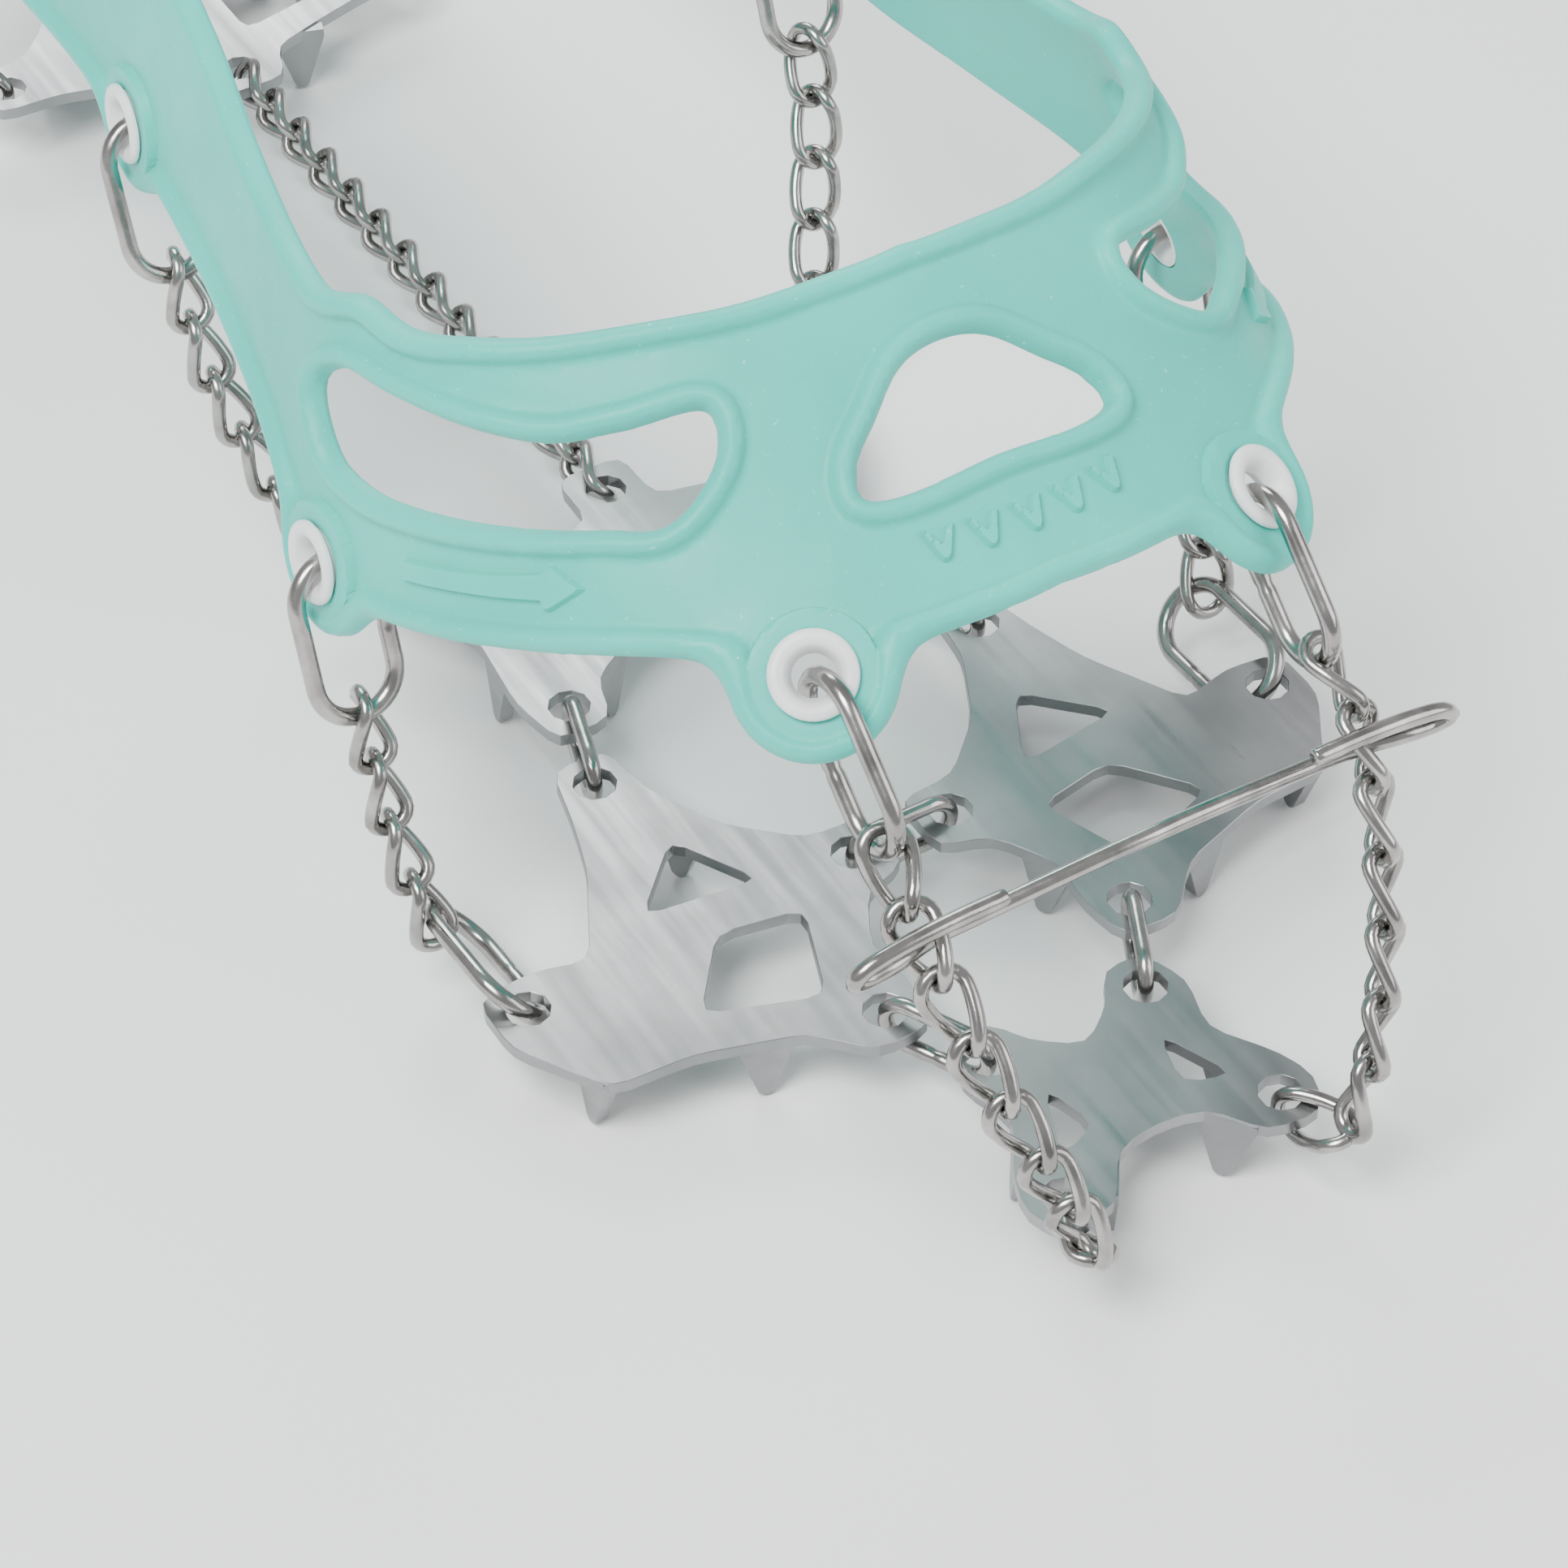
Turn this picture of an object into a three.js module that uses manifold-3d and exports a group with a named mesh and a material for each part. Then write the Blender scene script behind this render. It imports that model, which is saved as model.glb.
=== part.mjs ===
// One slip-on shoe ice cleat in its worn shape, without the boot.
// Millimetres. +X points to the toe, +Y to the wearer's left, +Z up.
// The origin lies on the sole plane, under the middle of the boot.

import * as THREE from 'three';
import { mergeVertices } from 'three/addons/utils/BufferGeometryUtils.js';
import Module from 'manifold-3d';

const wasm = await Module();
wasm.setup();

// Boot that the harness is stretched over. A station is degrees round the toe (0 to 90), then
// millimetres back along the side (90 to 225), then degrees round the heel (225 to 315).
const boot = {
  toeCentre: 40, heelCentre: -95,
  station: [0, 25, 50, 70, 90, 110, 130, 160, 190, 225, 270, 315],
  halfWidth: [110, 99, 77, 63, 57, 52, 48, 45, 44, 44, 45, 50],
  height: [94, 94, 96, 99, 102, 106, 110, 118, 122, 124, 128, 130],
  squareness: [1.8, 1.9, 2.2, 2.7, 3, 3.1, 3.3, 3.5, 3.6, 3.6, 3.6, 3.6],
  instepHollow: 4, hollowAngle: 52, hollowSpread: 13, hollowStations: 48,
};
const sideLength = boot.toeCentre - boot.heelCentre;
const heelStart = 90 + sideLength;
const heelBack = heelStart + 90;

// Harness outline, one side: [station, girth angle in degrees].
const harness = {
  thickness: 2.6, stationStep: 5, girthStep: 3, girthLow: 28, girthHigh: 79,
  topEdge: [[0, 65.2], [14, 64.6], [27, 63.4], [40, 62], [60, 58.9], [71, 57.5], [80, 57.7], [88, 56.2],
    [100, 56.8], [115, 59], [130, 62], [150, 64.5], [175, 64], [200, 62], [235, 60.5], [275, 60.5],
    [299, 62.5], [304, 68], [309, 71], [315, 71.5]],
  lowEdge: [[0, 40.2], [10, 39.6], [22, 38.8], [34, 39.6], [46, 38.8], [58, 37.5], [68, 36.5], [77, 37],
    [86, 40], [94, 42.4], [109, 45], [124, 46.9], [148, 49.5], [165, 50.5], [185, 50], [210, 48.5],
    [235, 47.5], [255, 47], [280, 48.5], [315, 50]],
  sideWindow: [[29.6, 53.5], [30.4, 56], [40.9, 54.6], [48.1, 53.3], [58, 52.9], [70.3, 53], [80.3, 52.6],
    [83.8, 50.4], [78.4, 46.9], [71.9, 46], [61.5, 46.4], [48.7, 47.3], [41, 47.9], [34.2, 48.6]],
  centreWindow: [[-15, 49.2], [-14.6, 51.4], [-11.5, 54], [-6.5, 57.2], [0, 58.2], [6.5, 57.2], [11.5, 54],
    [14.6, 51.4], [15, 49.2], [0, 49.4]],
  lugRadius: 9.2, lugBlend: 5, grommetBore: 4.4,
};
const lugs = {
  front: { at: [22, 38.2] }, side: { at: [77.2, 37.9] }, instep: { at: [148.5, 51.3] }, heel: { at: [255, 45] },
};

const grommet = {
  flangeRadius: 5.2, flangeThickness: 1, barrelRadius: 4.1, mouthRadius: 3.8, waistRadius: 2.5, faceGap: 0.45,
};
const ovalLink = { length: 22.5, width: 12.6, wire: 2.2 };
const joinLink = { length: 16, width: 8.4, wire: 2 };
const curbLink = { width: 7.2, wire: 1.75, overlap: 0.25, startInside: 2.65 };
const toeBarWire = 2;
const sheet = { top: -0.5, thickness: 1.8, cornerRadius: 2.2, eyeRadius: 2.75 };
const tooth = { base: 7.4, depth: 10, tip: 1, thickness: 1.8 };
const eyeHeight = sheet.top - sheet.thickness / 2;

// Plates in plan, [x, y]. The ball plate is the left one. The others are given as their left half.
// A tooth is [x, y, direction of its width in degrees].
const plates = {
  toe: {
    half: [[140, 0], [141, 6], [147.5, 10.5], [148.3, 17.5], [143.5, 20], [138.5, 18.5], [131, 13.5], [123.5, 15.8],
      [117.5, 13.5], [117.3, 8], [122, 5.5], [126, 0]],
    eyes: [[143.5, 15], [122, 11]], windows: [[[129, 8], [138.5, 12], [136.5, 6]]],
    teeth: [[143, 8.2, 35], [134, 14.4, 30]],
  },
  ball: {
    outline: [[114, 13.5], [114.5, 21], [108, 27], [104, 40], [103.5, 50.5], [98, 54], [92.5, 57.6], [84, 57.6],
      [83, 50], [85, 43], [72, 36], [64, 33.5], [55.5, 31.5], [55.5, 24], [64, 23], [74, 18], [81, 10.5],
      [81.5, 2.4], [90.5, 2.4], [92.5, 9], [100, 13.2], [107, 12.4]],
    eyes: [[109.5, 17.3], [86, 7], [88, 53], [60, 28]],
    windows: [[[91, 17], [104, 22], [99, 36], [89, 28]], [[73, 25], [84, 19], [82, 34]]],
    teeth: [[99, 50.2, 0], [105.2, 31, 105], [77.5, 37.8, 28], [70, 21.6, -30], [98, 13.6, 25]],
  },
  arch: {
    half: [[37, 0], [39, 10], [44, 18.5], [51, 20.5], [51.2, 28], [43, 29.5], [30, 28], [19, 34.5], [13.4, 36.6],
      [9.2, 34.4], [8, 28.5], [14, 24], [20, 14], [18, 5], [9.2, 4.8], [9.2, 0]],
    eyes: [[46.6, 24], [12, 32.5]], centreEye: [14, 0], windows: [[[28, 6], [33, 20], [23, 24], [25, 12]]],
    teeth: [[41.2, 15.5, 62], [35, 27.4, 8], [16.5, 20, -60]],
  },
  heel: {
    half: [[-87.2, 0], [-87.2, 4.8], [-94, 7], [-97, 16], [-99.5, 25], [-99.8, 34], [-104.5, 36], [-109.3, 34],
      [-110, 26], [-116, 20], [-127, 17], [-133, 12], [-134, 0]],
    eyes: [[-104.5, 31]], centreEye: [-92, 0], windows: [[[-100, 5], [-103, 19], [-114, 13], [-112, 5]]],
    teeth: [[-96.6, 11.6, 72], [-113.6, 21, 45], [-121.5, 17, 15], [-132, 7.5, 100]],
  },
};

const finish = {
  harness: new THREE.MeshStandardMaterial({ color: 0x7fe0d2, roughness: 0.55, metalness: 0 }),
  grommet: new THREE.MeshStandardMaterial({ color: 0xf2f4f5, roughness: 0.4, metalness: 0 }),
  wire: new THREE.MeshStandardMaterial({ color: 0xb9b6b2, roughness: 0.22, metalness: 1 }),
  plate: new THREE.MeshStandardMaterial({ color: 0xaeb0b2, roughness: 0.35, metalness: 1 }),
};

const part = new THREE.Group();
const vec = (x, y, z) => new THREE.Vector3(x, y, z);

function addPart(name, geometry, material) {
  const mesh = new THREE.Mesh(geometry, material);
  mesh.name = name;
  part.add(mesh);
  return mesh;
}

// Solids for joining and cutting

function weld(geometry) {
  const bare = new THREE.BufferGeometry();
  bare.setAttribute('position', geometry.getAttribute('position').clone());
  if (geometry.index) bare.setIndex(geometry.index.clone());
  return mergeVertices(bare, 1e-4);
}

function toSolid(geometry) {
  const welded = weld(geometry);
  const vertProperties = new Float32Array(welded.getAttribute('position').array);
  const triVerts = new Uint32Array(welded.index.array);
  return new wasm.Manifold(new wasm.Mesh({ numProp: 3, vertProperties, triVerts }));
}

function toGeometry(solid) {
  const mesh = solid.getMesh();
  const geometry = new THREE.BufferGeometry();
  geometry.setAttribute('position', new THREE.BufferAttribute(mesh.vertProperties, 3));
  geometry.setIndex(new THREE.BufferAttribute(mesh.triVerts, 1));
  return geometry;
}

const join = (geometries) => toGeometry(geometries.map(toSolid).reduce((whole, next) => whole.add(next)));
const cut = (geometry, tools) =>
  toGeometry(tools.map(toSolid).reduce((whole, tool) => whole.subtract(tool), toSolid(geometry)));

// Boot surface

// Shape-preserving cubic through a list of values, flat at its ends and its local peaks.
function curveThrough(stations, values) {
  const last = stations.length - 1;
  const slope = (i) => (values[i + 1] - values[i]) / (stations[i + 1] - stations[i]);
  const rate = values.map((_, i) => {
    if (i === 0 || i === last) return 0;
    const before = slope(i - 1);
    const after = slope(i);
    return before * after <= 0 ? 0 : (2 * before * after) / (before + after);
  });
  return (station) => {
    let i = 0;
    while (i < last - 1 && station > stations[i + 1]) i += 1;
    const width = stations[i + 1] - stations[i];
    const t = (station - stations[i]) / width;
    return (2 * t ** 3 - 3 * t ** 2 + 1) * values[i] + (t ** 3 - 2 * t ** 2 + t) * width * rate[i]
      + (3 * t ** 2 - 2 * t ** 3) * values[i + 1] + (t ** 3 - t ** 2) * width * rate[i + 1];
  };
}

const halfWidthAt = curveThrough(boot.station, boot.halfWidth);
const heightAt = curveThrough(boot.station, boot.height);
const squarenessAt = curveThrough(boot.station, boot.squareness);

// Point on the boot. A negative station is on the wearer's right.
function bootPoint(station, girth) {
  const along = Math.abs(station);
  const angle = THREE.MathUtils.degToRad(girth);
  const power = squarenessAt(along);
  const across = (Math.cos(angle) / halfWidthAt(along)) ** power;
  const up = (Math.sin(angle) / heightAt(along)) ** power;
  const hollow = boot.instepHollow * Math.exp(-(((girth - boot.hollowAngle) / boot.hollowSpread) ** 2))
    * Math.exp(-((along / boot.hollowStations) ** 2));
  const reach = (across + up) ** (-1 / power) - hollow;
  const centre = along <= 90 ? boot.toeCentre : Math.max(boot.heelCentre, boot.toeCentre - (along - 90));
  const turn = THREE.MathUtils.degToRad(along <= 90 ? along : Math.max(90, along - sideLength));
  const out = reach * Math.cos(angle);
  return vec(centre + out * Math.cos(turn), Math.sign(station) * out * Math.sin(turn), reach * Math.sin(angle));
}

function bootNormal(station, girth) {
  const step = 0.05;
  const side = station < 0 ? -1 : 1;
  const along = Math.min(Math.abs(station), heelBack - step) * side || step;
  const forward = bootPoint(along + step, girth).sub(bootPoint(along - step, girth));
  const upward = bootPoint(along, girth + step).sub(bootPoint(along, girth - step));
  return forward.cross(upward).normalize();
}

// Harness sheet

// Smooth outline through control points, kept as both pattern points and points in space.
function outline(points, closed, perSpan = 8) {
  const curve = new THREE.CatmullRomCurve3(points.map(([s, g]) => vec(s, g, 0)), closed, 'centripetal');
  const pattern = curve.getPoints(points.length * perSpan);
  return { pattern, space: pattern.map((p) => bootPoint(p.x, p.y)) };
}

function distanceTo(space, point) {
  const line = new THREE.Line3();
  const near = vec(0, 0, 0);
  let best = Infinity;
  for (let i = 1; i < space.length; i += 1) {
    line.set(space[i - 1], space[i]).closestPointToPoint(point, true, near);
    best = Math.min(best, near.distanceTo(point));
  }
  return best;
}

function isInside(pattern, station, girth) {
  let inside = false;
  for (let i = 0, j = pattern.length - 1; i < pattern.length; j = i, i += 1) {
    const a = pattern[i];
    const b = pattern[j];
    const crosses = (a.y > girth) !== (b.y > girth);
    if (crosses && station < ((b.x - a.x) * (girth - a.y)) / (b.y - a.y) + a.x) inside = !inside;
  }
  return inside;
}

const topEdge = outline(harness.topEdge, false);
const lowEdge = outline(harness.lowEdge, false);
const windows = [harness.sideWindow, harness.centreWindow].map((w) => outline(w, true));
const topAngleAt = curveThrough(topEdge.pattern.map((p) => p.x), topEdge.pattern.map((p) => p.y));
const lowAngleAt = curveThrough(lowEdge.pattern.map((p) => p.x), lowEdge.pattern.map((p) => p.y));
const lugCentres = Object.values(lugs).map(({ at }) => bootPoint(...at));

// Millimetres inside the harness outline, negative outside it. Both sides are alike.
function depthInside(station, girth) {
  const along = Math.abs(station);
  const point = bootPoint(along, girth);
  const top = distanceTo(topEdge.space, point) * Math.sign(topAngleAt(along) - girth);
  const low = distanceTo(lowEdge.space, point) * Math.sign(girth - lowAngleAt(along));
  let depth = Math.min(top, low);
  for (const centre of lugCentres) {
    const lug = harness.lugRadius - centre.distanceTo(point);
    const blend = Math.max(harness.lugBlend - Math.abs(depth - lug), 0) / harness.lugBlend;
    depth = Math.max(depth, lug) + (harness.lugBlend * blend ** 2) / 4;
  }
  for (const { pattern, space } of windows) {
    const away = distanceTo(space, point) * (isInside(pattern, along, girth) ? -1 : 1);
    depth = Math.min(depth, away);
  }
  return depth;
}

// Sheet of triangles over the outline, then an outer face, an inner face and the edge between them.
function harnessSheet() {
  const columns = 2 * Math.round(heelBack / harness.stationStep);
  const rows = Math.round((harness.girthHigh - harness.girthLow) / harness.girthStep);
  const stationAt = (i) => -heelBack + (2 * heelBack * i) / columns;
  const girthAt = (j) => harness.girthLow + harness.girthStep * j;
  const grid = Array.from({ length: columns }, (_, i) => Array.from({ length: rows + 1 }, (__, j) => {
    const spot = { station: stationAt(i), girth: girthAt(j) };
    return { ...spot, depth: depthInside(spot.station, spot.girth), id: -1 };
  }));
  const spots = [];
  const crossings = new Map();
  const idOf = (spot) => {
    if (spot.id < 0) spot.id = spots.push(spot) - 1;
    return spot.id;
  };
  const between = (a, b) => {
    const share = a.depth / (a.depth - b.depth);
    const wrap = Math.abs(a.station - b.station) > heelBack ? 2 * heelBack : 0;
    const stationB = b.station + Math.sign(a.station - b.station) * wrap;
    return { station: a.station + (stationB - a.station) * share, girth: a.girth + (b.girth - a.girth) * share,
      depth: 0, id: -1 };
  };
  // A grid spot that is nearly on the outline moves onto it, so that no sliver is left.
  const snap = 0.22;
  for (let i = 0; i < columns; i += 1) {
    for (let j = 1; j < rows; j += 1) {
      const here = grid[i][j];
      const around = [grid[(i + 1) % columns][j], grid[(i + columns - 1) % columns][j], grid[i][j + 1], grid[i][j - 1]];
      const close = around.filter((there) => here.depth * there.depth < 0
        && Math.abs(here.depth) < snap * Math.abs(here.depth - there.depth));
      if (close.length > 0) Object.assign(here, between(here, close[0]), { depth: 0 });
    }
  }
  const crossingId = (a, b) => {
    const key = [a, b].map((s) => `${s.station.toFixed(4)},${s.girth.toFixed(4)}`).sort().join('|');
    if (!crossings.has(key)) crossings.set(key, idOf(between(a, b)));
    return crossings.get(key);
  };
  const triangles = [];
  for (let i = 0; i < columns; i += 1) {
    for (let j = 0; j < rows; j += 1) {
      const next = (i + 1) % columns;
      const corners = [grid[i][j], grid[next][j], grid[next][j + 1], grid[i][j + 1]];
      if (!corners.some((c) => c.depth > 0)) continue;
      const ring = [];
      corners.forEach((corner, k) => {
        const following = corners[(k + 1) % 4];
        if (corner.depth >= 0) ring.push(idOf(corner));
        if (corner.depth * following.depth < 0) ring.push(crossingId(corner, following));
      });
      for (let k = 1; k + 1 < ring.length; k += 1) triangles.push([ring[0], ring[k], ring[k + 1]]);
    }
  }
  return { spots, triangles };
}

function thicken({ spots, triangles }, thickness) {
  const inner = spots.map((s) => bootPoint(s.station, s.girth));
  const outer = spots.map((s, i) => inner[i].clone().addScaledVector(bootNormal(s.station, s.girth), thickness));
  const count = spots.length;
  const edges = new Set(triangles.flatMap(([a, b, c]) => [`${a},${b}`, `${b},${c}`, `${c},${a}`]));
  const index = triangles.flatMap(([a, b, c]) => [a, b, c, count + a, count + c, count + b]);
  for (const edge of edges) {
    const [a, b] = edge.split(',').map(Number);
    if (!edges.has(`${b},${a}`)) index.push(b, a, count + a, b, count + a, count + b);
  }
  const geometry = new THREE.BufferGeometry();
  geometry.setAttribute('position',
    new THREE.BufferAttribute(new Float32Array([...outer, ...inner].flatMap((p) => p.toArray())), 3));
  geometry.setIndex(index);
  return geometry;
}

// Place a shape made along +Y so that +Y becomes the given direction.
function aim(geometry, position, direction) {
  const turn = new THREE.Quaternion().setFromUnitVectors(vec(0, 1, 0), direction);
  return geometry.applyQuaternion(turn).translate(...position.toArray());
}

const sides = { right: -1, left: 1 };
const lugSpots = Object.entries(lugs).flatMap(([place, { at }]) => Object.entries(sides).map(([hand, side]) => {
  const normal = bootNormal(side * at[0], at[1]);
  const centre = bootPoint(side * at[0], at[1]).addScaledVector(normal, harness.thickness / 2);
  return { name: `${place}_${hand}`, place, side, centre, normal };
}));

const bores = lugSpots.map(({ centre, normal }) =>
  aim(new THREE.CylinderGeometry(harness.grommetBore, harness.grommetBore, 12, 20), centre, normal));
addPart('harness', cut(thicken(harnessSheet(), harness.thickness), bores), finish.harness);

// Grommets: a flanged bush with a flared mouth on both faces.
function grommetGeometry() {
  const half = harness.thickness / 2;
  const face = half + grommet.faceGap;
  const profile = [[grommet.waistRadius, 0], [grommet.mouthRadius, -half], [grommet.barrelRadius, -half],
    [grommet.barrelRadius, face], [grommet.flangeRadius, face], [grommet.flangeRadius, face + 0.5],
    [grommet.flangeRadius - 0.6, face + grommet.flangeThickness], [grommet.mouthRadius, face + grommet.flangeThickness],
    [grommet.waistRadius, 0]];
  return new THREE.LatheGeometry(profile.map(([r, h]) => new THREE.Vector2(r, h)), 12);
}

for (const { name, centre, normal } of lugSpots) {
  addPart(`grommet_${name}`, aim(grommetGeometry(), centre, normal), finish.grommet);
}

// Wire links

// Closed ring of round wire, lying in the XY plane with its long way along X.
function ringLink({ length, width, wire }, wireSides, turns) {
  const geometry = new THREE.TorusGeometry((width - wire) / 2, wire / 2, wireSides, turns);
  const position = geometry.getAttribute('position');
  for (let i = 0; i < position.count; i += 1) {
    position.setX(i, position.getX(i) + (Math.sign(position.getX(i)) * (length - width)) / 2);
  }
  return geometry;
}

function place(geometry, position, along, across) {
  const frame = new THREE.Matrix4().makeBasis(along, across, along.clone().cross(across));
  return geometry.applyMatrix4(frame.setPosition(position));
}

// Oval links hang in the grommets. Their plane holds the hanging direction and the way out of the lug.
const hang = {
  front: vec(0.77, 0, -0.64), side: vec(0.33, 0, -0.944), instep: vec(0.36, 0, -0.933), heel: vec(0.1, 0, -0.995),
};
const hangLength = ovalLink.length - ovalLink.wire;

const ovalLinks = lugSpots.map(({ name, place: where, side, centre, normal }) => {
  const along = hang[where].clone().normalize();
  const facing = where === 'front' ? vec(normal.x, 0, normal.z) : normal.clone();
  const outward = facing.addScaledVector(along, -facing.dot(along)).normalize();
  const foot = centre.clone().addScaledVector(along, hangLength);
  return { name, where, side, centre, along, outward, foot };
});

for (const { name, centre, along, outward } of ovalLinks) {
  const middle = centre.clone().addScaledVector(along, hangLength / 2);
  addPart(`oval_link_${name}`, place(ringLink(ovalLink, 6, 18), middle, along, outward), finish.wire);
}

// Run of curb chain along a route. Each link is turned a quarter turn about the route from the last.
function chainRun(route, across, count, first) {
  const curve = new THREE.CatmullRomCurve3(route, false, 'centripetal');
  const total = curve.getLength();
  const pitch = (total - curbLink.wire + curbLink.overlap) / count;
  const centreLength = pitch + curbLink.wire - curbLink.overlap;
  const size = { length: centreLength + curbLink.wire, width: curbLink.width, wire: curbLink.wire };
  const centres = [];
  const links = Array.from({ length: count }, (_, i) => {
    const share = (centreLength / 2 + i * pitch) / total;
    const along = curve.getTangentAt(share);
    const turn = THREE.MathUtils.degToRad(first + 90 * i);
    const level = across.clone().addScaledVector(along, -across.dot(along)).normalize();
    centres.push({ point: curve.getPointAt(share), along, level });
    return place(ringLink(size, 4, 10), curve.getPointAt(share), along, level.clone().applyAxisAngle(along, turn));
  });
  return { geometry: join(links), centres, pitch };
}

// The point that lies a little before the end of a route, where the next link passes through the last.
const before = (end, previous, distance) =>
  end.clone().addScaledVector(end.clone().sub(previous).normalize(), -distance);

// Routes of the chains from the oval link's foot, for the wearer's left. The right is its mirror image.
const routes = {
  front: [[131, 29.4, 42.5], [137.5, 28.4, 35], [143.5, 26.3, 26], [148.8, 23.2, 17], [152.3, 20, 8.5]],
  toe: [[152.4, 18, 2.5], [149, 16.2, -1], [143.5, 15, -1.4]],
  side: [[62.3, 57.9, 18.5], [65.4, 57.6, 10.5], [68.6, 56.9, 4], [71.2, 55.8, -3]],
  instep: [[-8, 45.3, 27.5], [-5, 43.5, 18.5], [-1, 41, 10], [3.5, 38.4, 3], [8, 35.4, -0.9], [12, 32.5, -1.4]],
  heel: [[-114.5, 41, 13], [-113, 40, 5.5], [-109.5, 36, -0.5], [-104.5, 31, -1.4]],
  centre: [[14, 0, -1.4], [-92, 0, -1.4]],
};
const linkCount = { front: 6, toe: 2, side: 4, instep: 6, heel: 4, centre: 13 };
const firstTurn = { front: -8, toe: 0, side: -20, instep: 0, heel: 0, centre: 90 };
const wireGap = 0.45;

const onSide = (points, side) => points.map(([x, y, z]) => vec(x, side * y, z));

function linkRoute(place, hand) {
  const { foot, along } = ovalLinks.find(({ name }) => name === `${place}_${hand}`);
  return [foot.clone().addScaledVector(along, -curbLink.startInside), ...onSide(routes[place], sides[hand])];
}

// The point just before the end of a route, where the next wire passes through the last link.
function insideEnd(route, wire) {
  const [previous, end] = route.slice(-2);
  const back = previous.clone().sub(end).normalize();
  return end.clone().addScaledVector(back, (curbLink.wire + wire) / 2 + wireGap);
}

function addRun(name, place, route, across, side) {
  const run = chainRun(route, across, linkCount[place], side * firstTurn[place]);
  addPart(name, run.geometry, finish.wire);
  return run;
}

const toeBarEyes = [];
for (const [hand, side] of Object.entries(sides)) {
  const sideways = vec(0, side, 0);
  const forward = vec(side, 0, 0);
  const front = linkRoute('front', hand);
  toeBarEyes.push(addRun(`front_chain_${hand}`, 'front', front, sideways, side).centres[1]);
  addRun(`toe_chain_${hand}`, 'toe', [insideEnd(front, curbLink.wire), ...onSide(routes.toe, side)], sideways, side);
  addRun(`side_chain_${hand}`, 'side', linkRoute('side', hand), forward, side);
  addRun(`instep_chain_${hand}`, 'instep', linkRoute('instep', hand), forward, side);
  addRun(`heel_chain_${hand}`, 'heel', linkRoute('heel', hand), forward, side);
}
addRun('centre_chain', 'centre', onSide(routes.centre, 1), vec(0, 1, 0), 1);

// A link that stands in an eye of a plate, upright or leaning by some degrees
function addEyeLink(name, size, from, eye, lean = 0) {
  const along = eye.clone().sub(from).normalize();
  const middle = eye.clone().addScaledVector(along, (size.wire - size.length) / 2);
  const upright = vec(0, 0, 1).addScaledVector(along, -along.z).normalize();
  upright.applyAxisAngle(along, THREE.MathUtils.degToRad(lean));
  addPart(name, place(ringLink(size, 6, 10), middle, along, upright), finish.wire);
}

// The side chain ends in an oval link that runs forward along the sole edge and leans outward.
const soleLinkStart = [67.7, 53.2, -2.8];

const eyeAt = ([x, y], side) => vec(x, side * y, eyeHeight);
const [ballFront, ballInner, ballOuter, ballRear] = plates.ball.eyes;
for (const [hand, side] of Object.entries(sides)) {
  const [, outward, down] = soleLinkStart;
  addEyeLink(`sole_link_${hand}`, ovalLink, vec(soleLinkStart[0], side * outward, down), eyeAt(ballOuter, side), side * -41);
  addEyeLink(`toe_join_link_${hand}`, joinLink, eyeAt(plates.toe.eyes[1], side), eyeAt(ballFront, side));
  addEyeLink(`arch_join_link_${hand}`, joinLink, eyeAt(plates.arch.eyes[0], side), eyeAt(ballRear, side));
}
addEyeLink('ball_join_link', joinLink, eyeAt(ballInner, -1), eyeAt(ballInner, 1));

// Toe bar: one wire across the toe, hooked at each end through the second link of a front chain.
// A hook point is [sideways from the link's centre, out from the toe, down along the chain].
const hook = [[-9, 4.7, -2], [-3, 4.8, -2], [4, 4.7, -1.6], [8.6, 4, -0.8], [10, 2.9, 0.2], [8.4, 1.9, 0.6],
  [4, 1.7, 0.3], [0, 0, 0], [-3.5, -1.7, 0], [-7, -2.1, 0]];
const toeBarBow = vec(2, 0, 3.2);

function hookPoints({ point, along }, side) {
  const sideways = vec(0, side, 0);
  const outward = along.clone().cross(sideways).multiplyScalar(side).normalize();
  return hook.map(([across, out, down]) => point.clone().addScaledVector(sideways, across)
    .addScaledVector(outward, out).addScaledVector(along, down));
}

const rightHook = hookPoints(toeBarEyes[0], -1);
const leftHook = hookPoints(toeBarEyes[1], 1).reverse();
const barMiddle = rightHook[rightHook.length - 1].clone().add(leftHook[0]).multiplyScalar(0.5).add(toeBarBow);
const toeBarCurve = new THREE.CatmullRomCurve3([...rightHook, barMiddle, ...leftHook], false, 'centripetal');
const wireSection = new THREE.Shape().absarc(0, 0, toeBarWire / 2, 0, 2 * Math.PI, false);
addPart('toe_bar', new THREE.ExtrudeGeometry(wireSection, { extrudePath: toeBarCurve, steps: 46, curveSegments: 4 }),
  finish.wire);

// Spike plates

// Outline points with each corner cut round by two short flats
function roundedCorners(points, clockwise) {
  const corners = points.map(([x, y]) => new THREE.Vector2(x, y));
  if (THREE.ShapeUtils.isClockWise(corners) !== clockwise) corners.reverse();
  return corners.flatMap((corner, i) => {
    const towards = (other) => {
      const leg = other.clone().sub(corner);
      return leg.setLength(Math.min(sheet.cornerRadius, leg.length() * 0.45)).add(corner);
    };
    const enter = towards(corners[(i + corners.length - 1) % corners.length]);
    const leave = towards(corners[(i + 1) % corners.length]);
    const middle = enter.clone().add(leave).multiplyScalar(0.25).addScaledVector(corner, 0.5);
    return [enter, middle, leave];
  });
}

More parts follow.
